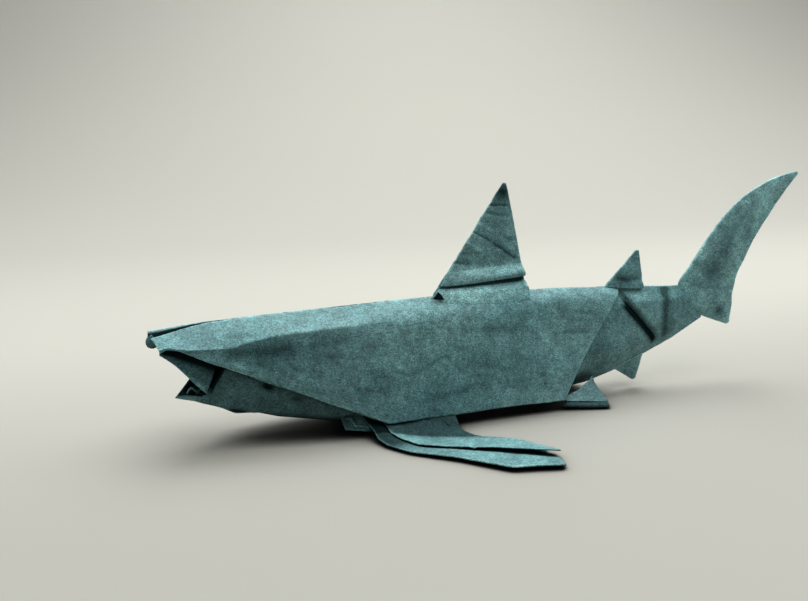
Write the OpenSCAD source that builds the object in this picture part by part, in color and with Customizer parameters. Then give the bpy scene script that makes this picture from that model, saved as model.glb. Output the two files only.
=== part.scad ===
// A shark folded from one square of plain paper. It stands on its fins.
// Sizes are in millimetres. x is 0 at mid length and grows towards the tail,
// y is 0 on the fold line of the back, z is 0 on the floor.
// A station is a distance behind the snout.

/* [Paper] */
// thickness of one layer of paper
ply = 0.16; // [0.14:0.01:0.2]
// spacing of the two layers of a flank, centre to centre
layer_gap = 0.5; // [0.45:0.05:0.7]

/* [Body] */
// length from the snout to the tip of the tail fin
overall_length = 148; // [142:1:156]
// height of the snout above the floor
snout_height = 21.2; // [20:0.2:22.4]
// height of the back at the dorsal fin
back_height = 24.8; // [23.8:0.2:26]
// height of the back where the tail fin starts
stem_height = 23.2; // [22.2:0.2:24.2]
// width of the bright roof between the two shoulder creases
roof_width = 12.6; // [11.4:0.2:13.8]
// drop from the back to the shoulder crease
crease_drop = 2.5; // [2:0.1:3]
// width of the body at the bottom corners of the flanks
belly_width = 18; // [16.4:0.2:19.6]
// height of the lower edge of a flank above the floor
flank_clearance = 2.2; // [1.8:0.1:2.6]
// station where the slanted lower edge of a flank starts
cheek_start = 5; // [4:0.5:6]
// station of the bottom corner of a flank
corner_station = 42; // [40:0.5:44]
// station of the rear bottom corner of a flank
flank_rear_low = 81.5; // [79:0.5:84]
// station where the rear edge of a flank meets the back
flank_rear_top = 99; // [97:0.5:99.5]
// length of the open seam on top of the snout
seam_length = 11.6; // [9:0.2:13]
// width of the open seam at the snout
seam_width = 1.8; // [1.2:0.1:2.4]

/* [Mouth] */
// station of the tip of the lower jaw
jaw_station = 3.6; // [2.6:0.2:4.6]
// height of the tip of the lower jaw
jaw_height = 9.7; // [8.7:0.1:10.7]
// width of the lower jaw at its corners
jaw_width = 7; // [6:0.2:7.6]
// height of the corners of the lower jaw
jaw_corner_height = 10.8; // [10.2:0.1:11.4]

/* [Tail stem] */
// width of the tail stem behind the flanks
stem_width = 4.6; // [4:0.1:5.2]
// depth of the two crimps in each side of the tail stem
crimp_depth = 0.8; // [0.5:0.1:1]
// station of the upright crimp
crimp_station = 113; // [112.6:0.1:113.6]

/* [Dorsal fins] */
// station of the front of the dorsal fin
dorsal_front = 54.4; // [52:0.2:57]
// station of the rear of the dorsal fin
dorsal_rear = 75.6; // [73:0.2:78]
// station of the tip of the dorsal fin
dorsal_tip_station = 70.2; // [67:0.2:72]
// height of the tip of the dorsal fin above the floor
dorsal_tip_height = 47.4; // [43:0.2:51]
// width of the flared foot of the dorsal fin
dorsal_flare = 3; // [2.4:0.1:3.6]
// height of the tip of the second dorsal fin above the floor
second_tip_height = 32; // [30:0.2:34]

/* [Paired fins] */
// span over the tips of the two pectoral fins
pectoral_span = 65.6; // [60:0.2:70]
// station of the front corner of a pectoral tip
pectoral_tip_station = 66.4; // [63:0.2:69]
// span over the tips of the two pelvic fins
pelvic_span = 21.6; // [19:0.2:24]
// station of the rear of a pelvic fin
pelvic_rear = 90.4; // [89.4:0.2:91.4]

/* [Tail fins] */
// height of the tip of the tail fin above the floor
tail_tip_height = 48.7; // [46:0.1:52]
// height of the tip of the lower lobe of the tail fin
lower_lobe_height = 13; // [11.6:0.1:14]
// station of the notch between the two lobes of the tail fin
tail_notch_station = 131.2; // [130:0.1:133]
// height of the tip of the anal fin above the floor
anal_tip_height = 1.8; // [1:0.1:2.6]

/* [Hidden] */
fold = 2 * ply;
caudal_front = 115.6;
second_front = 95.5;
second_rear = 105.5;
back_lift = back_height - snout_height;
stem_fall = back_height - stem_height;
half_roof = roof_width / 2;
half_belly = belly_width / 2;
half_stem = stem_width / 2;
cheek_z = snout_height - 2;
cheek_y = 0.8 * half_roof;
teal = [0.36, 0.5, 0.5];

// share k of the way from a to b
function mix(a, b, k) = a + (b - a) * k;
// the same point on the other side of the fish
function other(p) = [p[0], -p[1], p[2]];
// a list back to front
function back(v) = [for (i = [len(v) - 1:-1:0]) v[i]];

// height of the fold line of the back at station s
function ridge_z(s) = lookup(s, [
    [0, snout_height],
    [12, snout_height + 0.6 * back_lift],
    [30, snout_height + 0.8 * back_lift],
    [dorsal_front, back_height],
    [dorsal_rear, back_height],
    [second_front, back_height - 0.4 * stem_fall],
    [caudal_front, stem_height],
    [caudal_front + 10, stem_height]]);

// half width of the roof at station s
function crease_y(s) = half_roof * lookup(s, [
    [0, 0.69], [5, 0.8], [13.5, 0.92], [23, 1], [37, 0.95],
    [50, 0.8], [76, 0.56], [99, 0.44]]);

// height of the shoulder crease at station s
function crease_z(s) = ridge_z(s) - crease_drop * lookup(s, [
    [0, 0.6], [5, 1.05], [13.5, 1.6], [16, 1.36], [23, 1],
    [37, 0.8], [50, 0.9], [76, 0.72], [99, 0.56]]);

// lower edge of a flank at station s
function edge_low(s) = s < cheek_start
    ? [s, mix(0.71 * half_roof, cheek_y, s / cheek_start), cheek_z]
    : s < corner_station
    ? let(k = (s - cheek_start) / (corner_station - cheek_start))
        [s, mix(cheek_y, half_belly, k), mix(cheek_z, flank_clearance + 0.2, k)]
    : let(k = (s - corner_station) / (flank_rear_low - corner_station))
        [s, half_belly * lookup(k, [[0, 1], [0.3, 0.9], [0.7, 0.89], [1, 0.92]]),
        flank_clearance + 0.2 * (1 - min(1, 4 * k))];

// station on the lower edge that belongs to station s on the back
function low_station(s) = s < cheek_start ? mix(1.4, s, s / cheek_start)
    : s < corner_station ? s
    : mix(corner_station, flank_rear_low,
        (s - corner_station) / (flank_rear_top - corner_station));

// point at share f from the crease to the lower edge, moved inwards by w
function flank_point(s, f, w) =
    let(e = edge_low(low_station(s)), c = mix(s, e[0], s < cheek_start ? 0.8 : 0.08))
    [mix(c, e[0], f), mix(crease_y(c), e[1], pow(f, 1.5)) - w,
    mix(crease_z(c), e[2] + layer_gap / 2, f)];

// one side of the outer sheet, from the crease round the hem and up inside
function flank_side(s) = let(g = layer_gap, e = edge_low(low_station(s)),
    c = flank_point(s, 0, 0)) [
    [mix(s, c[0], 0.9), 0.9 * c[1], mix(ridge_z(s), c[2], 0.87)],
    flank_point(s, 0.07, 0),
    flank_point(s, 0.35, 0),
    flank_point(s, 0.7, 0),
    flank_point(s, 1, 0),
    [e[0], e[1] - g / 2, e[2] + ply / 2],
    flank_point(s, 1, g),
    flank_point(s, 0.7, g),
    flank_point(s, 0.35, g),
    flank_point(s, 0.14, g)];

// whole section of the outer sheet at station s
function flank_section(s) = let(a = flank_side(s))
    concat([for (p = back(a)) other(p)], [[s, 0, ridge_z(s)]], a);

// direction across the sheet at one point of a grid
function across(g, i, j) =
    let(n = len(g) - 1, m = len(g[0]) - 1,
        u = g[min(i + 1, n)][j] - g[max(i - 1, 0)][j],
        v = g[i][min(j + 1, m)] - g[i][max(j - 1, 0)],
        c = cross(u, v))
    c / norm(c);

// closed sheet of thickness t about a grid of points
module sheet(g, t) {
    n = len(g);
    m = len(g[0]);
    h = n * m;
    offs = [for (i = [0:n - 1]) for (j = [0:m - 1]) across(g, i, j) * t / 2];
    mid = [for (r = g) for (p = r) p];
    points = concat(mid + offs, mid - offs);
    function at(i, j) = i * m + j;
    faces = concat(
        [for (i = [0:n - 2]) for (j = [0:m - 2]) each [
            [at(i, j), at(i + 1, j + 1), at(i + 1, j)],
            [at(i, j), at(i, j + 1), at(i + 1, j + 1)],
            [h + at(i, j), h + at(i + 1, j), h + at(i + 1, j + 1)],
            [h + at(i, j), h + at(i + 1, j + 1), h + at(i, j + 1)]]],
        [for (i = [0:n - 2]) each [
            [at(i, 0), at(i + 1, 0), h + at(i + 1, 0)],
            [at(i, 0), h + at(i + 1, 0), h + at(i, 0)],
            [at(i, m - 1), h + at(i + 1, m - 1), at(i + 1, m - 1)],
            [at(i, m - 1), h + at(i, m - 1), h + at(i + 1, m - 1)]]],
        [for (j = [0:m - 2]) each [
            [at(0, j), h + at(0, j + 1), at(0, j + 1)],
            [at(0, j), h + at(0, j), h + at(0, j + 1)],
            [at(n - 1, j), at(n - 1, j + 1), h + at(n - 1, j + 1)],
            [at(n - 1, j), h + at(n - 1, j + 1), h + at(n - 1, j)]]]);
    polyhedron(points, faces, convexity = 8);
}

// flat flap with rounded corners at the points of a list
module flap(points, t) {
    hull() for (p = points) translate(p) sphere(d = t, $fn = 6);
}

// something on both sides of the fish
module both_sides() {
    children();
    mirror([0, 1, 0]) children();
}

// fin of two leaves that are one fold along the front edge
module fin(front, rear, half, open = 0.05) {
    rows = [for (i = [0:len(front) - 1]) let(a = front[i], b = rear[i]) [
        [a[0], i == 0 ? open : 0.05, a[1]],
        [mix(a[0], b[0], 0.3), half[i], mix(a[1], b[1], 0.3)],
        [mix(a[0], b[0], 0.7), half[i], mix(a[1], b[1], 0.7)],
        [b[0], 0.8 * half[i], b[1]]]];
    both_sides() sheet(rows, fold);
}

// stations of the sections of the outer sheet
outer_stations = concat(
    [-0.2, cheek_start / 2],
    [for (k = [0:7]) mix(cheek_start, corner_station, k / 8)],
    [for (k = [0:7]) mix(corner_station, flank_rear_top, k / 7)]);

// roof and flanks, with a hem along the lower edges and the seam open in front
module outer_sheet() {
    difference() {
        sheet([for (s = outer_stations) flank_section(s)], ply);
        translate([0, 0, snout_height - 2])
            linear_extrude(6)
            polygon([[-1, -seam_width / 2], [0, -seam_width / 2],
                [seam_length, 0], [0, seam_width / 2], [-1, seam_width / 2]]);
    }
}

// half of a section through throat and belly: keel, foot, two wall points, top
function belly_half(s, keel, y, z) = [
    [s, 0, keel],
    [s, y, z],
    [s, mix(y, flank_point(s, 0.5, 0)[1] - 1.7, 0.45), mix(z, crease_z(s), 0.3)],
    [s, mix(y, flank_point(s, 0.5, 0)[1] - 1.7, 0.9), mix(z, crease_z(s), 0.6)],
    flank_point(s, 0.2, layer_gap / 2)];

// half of a section through the tail stem, from the keel to the back
function stem_half(low, high, y, z) = [
    [low, 0, z],
    [mix(low, high, 0.14), 0.8 * y, mix(z, ridge_z(high), 0.22)],
    [mix(low, high, 0.36), y, mix(z, ridge_z(high), 0.4)],
    [mix(low, high, 0.78), 0.95 * y, mix(z, ridge_z(high), 0.76)],
    [high, -ply / 4, ridge_z(high) - ply]];

half_jaw = jaw_width / 2;
keel_halves = [
    [[jaw_station, 0, jaw_height],
        [jaw_station + 2.2, 0.6 * half_jaw, jaw_height + 0.1],
        [jaw_station + 4.9, half_jaw, jaw_corner_height],
        [jaw_station + 8.1, half_jaw + 0.7, jaw_corner_height + 4.7],
        flank_point(jaw_station + 9.2, 0.3, layer_gap / 2)],
    [[11, 0, 6.9],
        [11.3, 3, 8],
        [12.6, half_jaw + 0.3, jaw_corner_height + 0.8],
        [14, half_jaw + 1, jaw_corner_height + 4.7],
        flank_point(15, 0.26, layer_gap / 2)],
    belly_half(20, 4.2, 4, 5.9),
    belly_half(27, 2.5, 4.3, 4.8),
    belly_half(corner_station - 8, 1.1, 4.6, 3.7),
    belly_half(corner_station, 0.8, 6, 2.7),
    belly_half(51, 0.8, 6.1, 2.6),
    belly_half(60, 0.9, 6.1, 2.6),
    belly_half(69, 1.1, 5.9, 2.9),
    belly_half(77, 1.5, 5.4, 3.6),
    belly_half(84, 2, 4.2, 5),
    stem_half(91.5, 96.5, half_stem + 0.5, 2.7),
    stem_half(99, 99.4, half_stem, 4.7),
    stem_half(110.2, 100.4, 0.88 * half_stem, 9.1),
    stem_half(111, 101.4, 0.88 * half_stem - crimp_depth, 9.4),
    stem_half(111.8, 102.6, 0.84 * half_stem, 9.7),
    stem_half(crimp_station - 0.3, crimp_station - 1, 0.7 * half_stem, 10.1),
    stem_half(crimp_station + 0.5, crimp_station, 0.7 * half_stem - crimp_depth, 10.4),
    stem_half(crimp_station + 1.3, crimp_station + 1, 0.6 * half_stem, 10.8),
    stem_half(122.6, 117.6, 0.22 * half_stem, 14.9)];

// throat, belly and tail stem: one sheet with its fold along the keel
module keel_sheet() {
    sheet([for (h = keel_halves)
        concat([for (p = back(h)) other(p)], [for (j = [1:4]) h[j]])], fold);
}

// flap inside each cheek, set back from the edge of the flank
module lip_flaps() {
    both_sides() flap([
        [1.7, 0.62 * half_roof, cheek_z + 0.35],
        [jaw_station + 2.7, 3.9, 13.9],
        [jaw_station + 4.8, 3.8, 11.3],
        [jaw_station + 8.1, 4.3, 15.4],
        flank_point(12, 0.4, layer_gap / 2)], fold);
}

// large dorsal fin with a flared foot and a valley above it
module dorsal_fin() {
    steps = [0, 0.05, 0.12, 0.22, 0.45, 0.75, 1];
    flare = dorsal_flare / 2;
    rise = dorsal_tip_height - back_height;
    fin([for (k = steps) [mix(dorsal_front - 0.3, dorsal_tip_station - 0.5, k),
            back_height - 0.5 + (rise + 0.3) * k]],
        [for (k = steps) [mix(dorsal_rear + 0.3, dorsal_tip_station + 0.1, k),
            back_height - 0.5 + (rise + 0.2) * k]],
        [flare, 0.85 * flare, 0.35 * flare, 0.6 * flare, 0.4, 0.3, 0.15],
        open = 0.5);
}

// small second dorsal fin over the rear end of the flanks
module second_dorsal() {
    steps = [0, 0.35, 0.7, 1];
    fin([for (k = steps) [mix(second_front, second_rear - 2.2, k),
            mix(ridge_z(second_front) - 0.3, second_tip_height, k)]],
        [for (k = steps) [mix(second_rear, second_rear - 1.6, k),
            mix(ridge_z(second_rear) - 0.5, second_tip_height - 0.3, k)]],
        [0.8, 0.55, 0.35, 0.15]);
}

// anal fin under the tail stem
module anal_fin() {
    steps = [0, 0.5, 1];
    fin([for (k = steps) [mix(98.6, 104.4, k), mix(5.4, anal_tip_height, k)]],
        [for (k = steps) [mix(106.6, 105.2, k), mix(8.2, anal_tip_height + 0.3, k)]],
        [0.54, 0.37, 0.16]);
}

// tail fin, from the tip of the lower lobe to the tip of the upper lobe
module tail_fin() {
    n = tail_notch_station;
    tip = overall_length;
    lobe = tail_tip_height - stem_height;
    front = [[n - 0.8, lower_lobe_height],
        [mix(n, caudal_front, 0.5), 15.4],
        [caudal_front + 2.6, 18],
        [caudal_front, stem_height],
        [caudal_front + 6.6, stem_height + 0.373 * lobe],
        [mix(caudal_front, tip, 0.35), stem_height + 0.6 * lobe],
        [mix(caudal_front, tip, 0.52), stem_height + 0.78 * lobe],
        [mix(caudal_front, tip, 0.76), stem_height + 0.92 * lobe],
        [tip - 0.5, tail_tip_height]];
    rear = [[n - 0.1, lower_lobe_height + 0.3],
        [n, 17.3],
        [n - 0.2, 20],
        [n, 21.4],
        [mix(n, tip, 0.14), stem_height + 0.2 * lobe],
        [mix(n, tip, 0.28), stem_height + 0.38 * lobe],
        [mix(n, tip, 0.5), stem_height + 0.588 * lobe],
        [mix(n, tip, 0.75), stem_height + 0.8 * lobe],
        [tip, tail_tip_height - 0.4]];
    fin(front, rear, [0.15, 0.4, 0.5, 0.6, 0.5, 0.45, 0.4, 0.3, 0.15]);
}

// pectoral fins: a bent strap in front, a wide leaf behind it and a flat sole
module pectoral_fins() {
    tip_y = pectoral_span / 2;
    reach = tip_y / 32.8;
    shift = (pectoral_tip_station - 66.4) / 24;
    function fan(p) = [p[0] + shift * max(0, p[1] - 9), 9 + (p[1] - 9) * reach, p[2]];
    strap = [
        [[37, 6.2, 4.6], [39, 6.4, 4.5], [41.4, 6.6, 4.2]],
        [[38.2, 9.4, 2.8], [40, 9.8, 2.9], [42.4, 9.8, 2.3]],
        [[40.3, 13.3, 0.5], [42.2, 12.9, 1.2], [43.8, 12, 0.9]],
        [[48.2, 19.6, 0.3], [49, 17.5, 1.1], [49.5, 15.5, 0.8]],
        [[57, 30, 0.3], [59, 26.5, 1], [60.2, 22, 0.8]],
        [[66.4, 32.8, 0.4], [67.8, 30.4, 0.8], [68.8, 28, 0.5]]];
    leaf = [
        [[41.8, 7.4, 3.6], [49, 7.2, 3.5], [55.8, 7, 3.5]],
        [[42.2, 9.2, 1.3], [49, 9.4, 1], [56, 9.4, 1.1]],
        [[42.6, 11.6, 0.4], [50, 12.4, 0.25], [57, 13.2, 0.34]],
        [[47.6, 15.9, 0.24], [53, 15.8, 0.25], [61, 15.8, 0.34]],
        [[58.4, 23.4, 0.25], [61.5, 20.6, 0.26], [64.6, 18.9, 0.33]],
        [[68, 28.4, 0.26], [67.6, 26, 0.25], [66.6, 23, 0.34]]];
    both_sides() {
        sheet([for (r = strap) [for (p = r) fan(p)]], fold);
        sheet([for (r = leaf) [for (p = r) fan(p)]], fold);
        hull() for (p = [[43.6, 12.6, 0], [49, 18.6, 0], [57.6, 28.6, 0],
            [65.6, 31.2, 0], [66, 24, 0], [60, 16.6, 0]])
            translate(fan(p)) cylinder(d = 0.6, h = ply, $fn = 8);
    }
}

// pelvic fins: two leaves each, apart at the outer edge
module pelvic_fins() {
    out = pelvic_span / 2;
    r = pelvic_rear;
    both_sides() {
        flap([[82.2, 7.4, 2], [r + 0.4, out - 1.2, 1.2], [r + 0.6, 4.4, 4.2]], fold);
        flap([[82.2, 7.4, 2], [r + 0.6, 4.4, 4.2], [93.2, 0, 3.3]], fold);
        flap([[81.4, 7.6, 0.9], [r, out, ply], [92.8, 0, 2.9]], fold);
        flap([[82.2, 7.4, 2], [81.4, 7.6, 0.9], [83, 6.4, 1.5]], fold);
    }
}

// crumpled knots of paper in front of the roots of the pectoral fins
module knots() {
    k = corner_station - 8;
    both_sides() {
        flap([[k, 4.7, 3.8], [k + 0.4, 6.4, 1.6], [k + 4.4, 7, 0.9],
            [k + 2.8, 5.4, 4]], 0.7);
        flap([[k + 0.2, 4.6, 3.6], [k - 0.2, 6.8, 2.2], [k + 3.6, 7.4, 2],
            [k + 4, 6, 4.2]], 0.6);
        flap([[k + 1, 4.2, 2.6], [k + 0.6, 5.6, 1.2], [k + 5.6, 6.8, 0.5],
            [k + 6, 6.4, 3.6]], 0.6);
    }
}

module folded_shark() {
    color(teal)
        translate([-overall_length / 2, 0, 0]) {
            outer_sheet();
            keel_sheet();
            lip_flaps();
            dorsal_fin();
            second_dorsal();
            anal_fin();
            tail_fin();
            pectoral_fins();
            pelvic_fins();
            knots();
        }
}

folded_shark();
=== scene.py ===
"""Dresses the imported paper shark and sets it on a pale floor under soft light."""

import math

import bpy
import numpy as np
from mathutils import Matrix, Vector, noise


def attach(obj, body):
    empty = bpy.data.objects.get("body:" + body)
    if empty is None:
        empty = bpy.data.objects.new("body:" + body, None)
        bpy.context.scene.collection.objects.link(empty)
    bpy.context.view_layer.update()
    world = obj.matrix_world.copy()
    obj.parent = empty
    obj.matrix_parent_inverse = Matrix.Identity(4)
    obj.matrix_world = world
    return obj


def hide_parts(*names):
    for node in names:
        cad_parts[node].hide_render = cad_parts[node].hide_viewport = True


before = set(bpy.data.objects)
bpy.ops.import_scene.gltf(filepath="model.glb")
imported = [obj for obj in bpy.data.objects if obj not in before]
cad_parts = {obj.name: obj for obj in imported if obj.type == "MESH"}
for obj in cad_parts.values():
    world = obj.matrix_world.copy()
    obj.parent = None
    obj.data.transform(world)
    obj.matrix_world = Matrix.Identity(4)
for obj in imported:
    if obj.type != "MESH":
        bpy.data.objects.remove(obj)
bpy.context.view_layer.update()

# sizes in mm: s runs from the snout to the tail, y is a half width, z is the height
LENGTH = 148.0
PLY = 0.16
FOLD = 0.32
GAP = 0.5
CELL = 0.4
# stations of the flank: end of the snout, lower corners, rear of the roof and rear of the open seam
SNOUT = 5
CORNER_FRONT = 42
CORNER_REAR = 81.5
ROOF_REAR = 99
SEAM_REAR = 11.6
# swell of the roof between the ridge and the crease
ROOF_BULGE = 0.18


# Curves of the body
def table(x, pts):
    """Smooth curve through a few points that never overshoots them."""
    xs = np.array([p[0] for p in pts], float)
    ys = np.array([p[1] for p in pts], float)
    x = np.clip(np.asarray(x, float), xs[0], xs[-1])
    d = np.diff(ys) / np.diff(xs)
    m = np.empty_like(ys)
    total = d[:-1] + d[1:] + 1e-12 * np.sign(d[:-1])
    m[1:-1] = np.where(d[:-1] * d[1:] > 0, 2 * d[:-1] * d[1:] / total, 0)
    m[0] = d[0]
    m[-1] = d[-1]
    k = np.clip(np.searchsorted(xs, x, side="right") - 1, 0, len(xs) - 2)
    h = xs[k + 1] - xs[k]
    t = (x - xs[k]) / h
    return ((2 * t**3 - 3 * t**2 + 1) * ys[k] + (t**3 - 2 * t**2 + t) * h * m[k]
            + (-2 * t**3 + 3 * t**2) * ys[k + 1] + (t**3 - t**2) * h * m[k + 1])


def mix(a, b, k):
    """The value at share k between a and b."""
    return a + (b - a) * k


def step(a, b, x):
    """0 below a, 1 above b and smooth between them."""
    t = np.clip((x - a) / (b - a), 0, 1)
    return t * t * (3 - 2 * t)


def ridge_z(s):
    """Height of the ridge at station s."""
    return table(s, [(0, 21.2), (12, 23.36), (30, 24.08), (54.4, 24.8), (75.6, 24.8), (95.5, 24.16),
                     (115.6, 23.2), (126, 23.2)])


def crease_y(s):
    """Half width of the shoulder crease at station s."""
    share = table(s, [(0, 0.69), (5, 0.8), (13.5, 0.92), (23, 1), (37, 0.95), (50, 0.8), (76, 0.56),
                      (99, 0.44)])
    return 6.3 * share


def crease_z(s):
    """Height of the shoulder crease at station s."""
    drop = table(s, [(0, 0.6), (2.6, 0.62), (5, 1.05), (13.5, 1.6), (16, 1.36), (23, 1.02), (37, 0.96),
                     (50, 1.0), (76, 0.8), (99, 0.6)])
    return ridge_z(s) - 2.5 * drop


def back_z(s, y):
    """Height of the back at station s and half width y."""
    share = y / crease_y(s)
    return mix(ridge_z(s), crease_z(s), share) + ROOF_BULGE * np.sin(math.pi * share)


def edge_low(s):
    """y and z of a flank's lower edge at station s."""
    k1 = np.clip(s / SNOUT, 0, 1)
    k2 = np.clip((s - SNOUT) / (CORNER_FRONT - SNOUT), 0, 1)
    k3 = np.clip((s - CORNER_FRONT) / (CORNER_REAR - CORNER_FRONT), 0, 1)
    level_y = 9 * table(k3, [(0, 1), (0.3, 0.9), (0.7, 0.89), (1, 0.92)])
    y = np.where(s < SNOUT, mix(4.47, 5.04, k1), np.where(s < CORNER_FRONT, mix(5.04, 9, k2), level_y))
    front = table(s, [(1.4, 19.2), (2.6, 19.85), (3.6, 19.75), (5, 19.2)])
    level_z = 2.2 + 0.2 * np.clip(1 - 4 * k3, 0, 1)
    z = np.where(s < SNOUT, front, np.where(s < CORNER_FRONT, mix(19.2, 2.4, k2), level_z))
    return y, z


def low_station(s):
    """Station on the flank's lower edge that belongs to station s of the ridge."""
    share = (s - CORNER_FRONT) / (ROOF_REAR - CORNER_FRONT)
    behind = np.where(s < CORNER_FRONT, s, mix(CORNER_FRONT, CORNER_REAR, share))
    return np.where(s < SNOUT, mix(1.4, s, np.clip(s / SNOUT, 0, 1)), behind)


def flank_point(s, f, w):
    """Point of a flank at share f from the crease to the lower edge, moved inwards by w."""
    s = np.asarray(s, float)
    low = low_station(s)
    ey, ez = edge_low(low)
    c = mix(s, low, np.where(s < SNOUT, 0.8, 0.08))
    y = mix(crease_y(c), ey, f**1.5) - w
    z = mix(crease_z(c), ez + GAP / 2, f)
    return np.stack([mix(c, low, f), y, z], -1)


# Grids and sheets
def smoothed(g, sig_u, sig_v):
    """Rounds a grid's folds by a small blur that keeps its rim where it is."""
    for ax, sig in ((0, sig_u), (1, sig_v)):
        if sig < 0.3:
            continue
        r = int(math.ceil(3 * sig))
        r = min(r, g.shape[ax] - 1)
        k = np.exp(-0.5 * (np.arange(-r, r + 1) / sig) ** 2)
        k /= k.sum()
        g = np.moveaxis(g, ax, 0)
        pre = 2 * g[0] - g[r:0:-1]
        post = 2 * g[-1] - g[-2:-2 - r:-1]
        p = np.concatenate([pre, g, post])
        g = sum(w * p[i:i + g.shape[0]] for i, w in enumerate(k))
        g = np.moveaxis(g, 0, ax)
    return g


def refine(rows, du, round_u, round_v):
    """Fills a coarse grid of fold corners with flat panels and rounds the folds a little (in mm)."""
    g = np.array(rows, float)

    def stations(g, d):
        seg = np.linalg.norm(np.diff(g, axis=0), axis=2)
        seg = seg.mean(axis=1) * 0.5 + seg.max(axis=1) * 0.5
        out = [np.array([0.0])]
        for i, s in enumerate(seg):
            n = max(1, int(round(s / d)))
            out.append(i + np.arange(1, n + 1) / n)
        return np.concatenate(out)

    def resample(g, t):
        i = np.minimum(t.astype(int), len(g) - 2)
        f = (t - i)[:, None, None]
        return g[i] * (1 - f) + g[i + 1] * f

    g = resample(g, stations(g, du))
    g = resample(g.transpose(1, 0, 2), stations(g.transpose(1, 0, 2), du)).transpose(1, 0, 2)
    return smoothed(g, round_u / du, round_v / du)


def normals(g):
    """Unit normals of a grid."""
    du = np.gradient(g, axis=0)
    dv = np.gradient(g, axis=1)
    n = np.cross(du, dv)
    return n / np.maximum(np.linalg.norm(n, axis=2, keepdims=True), 1e-12)


def crumple(p, amount=1.0, seed=0.0):
    """How far the paper lies off its flat panel at points p: soft buckles and faint crease lines."""
    flat = p.reshape(-1, 3)
    out = np.empty(len(flat))
    for i, (a, b, c) in enumerate(flat):
        q = Vector((a + seed, b + 3.7 * seed, c - seed))
        soft = noise.noise(q * 0.11) * 0.26 + noise.noise(q * 0.27 + Vector((9, 2, 5))) * 0.11
        wide = q * 0.3
        bend = (noise.noise(wide), noise.noise(wide + Vector((5, 1, 8))),
                noise.noise(wide + Vector((2, 7, 3))))
        w = q + 1.6 * Vector(bend)
        r1 = abs(noise.noise(w * 0.17 + Vector((4, 4, 1))))
        r2 = abs(noise.noise(w * 0.42 + Vector((1, 8, 6))))
        lines = 0.13 * max(0.0, 1 - r1 / 0.16) ** 1.5 + 0.05 * max(0.0, 1 - r2 / 0.2) ** 1.5
        fine = noise.noise(q * 1.1) * 0.028
        out[i] = soft - lines + fine
    return (out * amount).reshape(p.shape[:-1])


def fold_lines(p, lines):
    """Depth and tone of creases, each (s1, z1, s2, z2, width, depth) in the side view; sunken creases
    get painted shade, raised ones a light worn tone.
    """
    d = np.zeros(p.shape[:-1])
    tone = np.zeros(p.shape[:-1])
    for s1, z1, s2, z2, w, depth in lines:
        ax = s2 - s1
        az = z2 - z1
        ll = ax * ax + az * az
        t = ((p[..., 0] - s1) * ax + (p[..., 2] - z1) * az) / ll
        tc = np.clip(t, 0, 1)
        q = np.hypot(p[..., 0] - s1 - tc * ax, p[..., 2] - z1 - tc * az)
        ends = np.clip(np.minimum(t, 1 - t) * math.sqrt(ll) / (2 * w) + 0.3, 0, 1)
        form = np.exp(-((q / w) ** 1.6)) * ends
        d += depth * form
        # painted shade in sunken creases, a light worn tone on raised ones
        tone += (max(depth, -0.45) / 0.5 if depth < 0 else depth) * form
    return d, tone


def tones(p, marks):
    """Tone of soft patches, each (s, z, length, height, amount) in the side view; above 0 is light: worn
    spots, painted light and painted shade.
    """
    tone = np.zeros(p.shape[:-1])
    for s, z, ls, lz, amount in marks:
        tone += amount * np.exp(-(((p[..., 0] - s) / ls) ** 2) - ((p[..., 2] - z) / lz) ** 2)
    return tone


def even(tone):
    """A shade that gives a whole sheet one tone."""
    return lambda g: np.full(g.shape[:2], float(tone))


SHEETS = []


def lay(g, t, tone=0.0, crum=1.0, seed=0.0, lines=(), pin=None, side=-1, marks=(), faces=(0, 0)):
    """Adds a sheet of thickness t about grid g. Grid y is a half width; side puts it left or right."""
    flat = g
    d, line_tone = fold_lines(flat, lines)
    if crum:
        d = d + crumple(flat, crum, seed)
    if pin is not None:
        d = d * pin
    g = flat + normals(flat) * d[..., None]
    n = normals(g)
    g[..., 1] *= side
    n[..., 1] *= side
    tone = np.clip(tone + line_tone + tones(flat, marks), -1, 1)
    SHEETS.append((g, n, t, tone, faces))


def rim(shape, cells, sides=(1, 1, 1, 1)):
    """1 at the rim of a grid, falling to 0 inside: first row, last row, first column, last column."""
    i = np.arange(shape[0])[:, None] * np.ones((1, shape[1]))
    j = np.arange(shape[1])[None, :] * np.ones((shape[0], 1))
    d = np.full(shape[:2], 1e9)
    for on, v in zip(sides, (i, shape[0] - 1 - i, j, shape[1] - 1 - j)):
        if on:
            d = np.minimum(d, v)
    return np.clip(1 - d / cells, 0, 1)


def panel(rows, t=FOLD, du=0.4, r=0.25, crum=0.5, seed=0.0, lines=(), side=-1, edge=(1, 1, 1, 1),
          rv=None, marks=(), shade=None, faces=(0, 0), wear=0.6):
    """Lays one sheet through rows of fold corners; shade adds a tone, on most sheets painted shade; edge
    says which rims are worn.
    """
    g = refine(rows, du, r, r if rv is None else rv)
    tone = rim(g.shape, 0.6 / du, edge) * wear
    if shade is not None:
        tone = tone + shade(g)
    lay(g, t, tone, crum, seed, lines, None, side, marks, faces)
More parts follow.
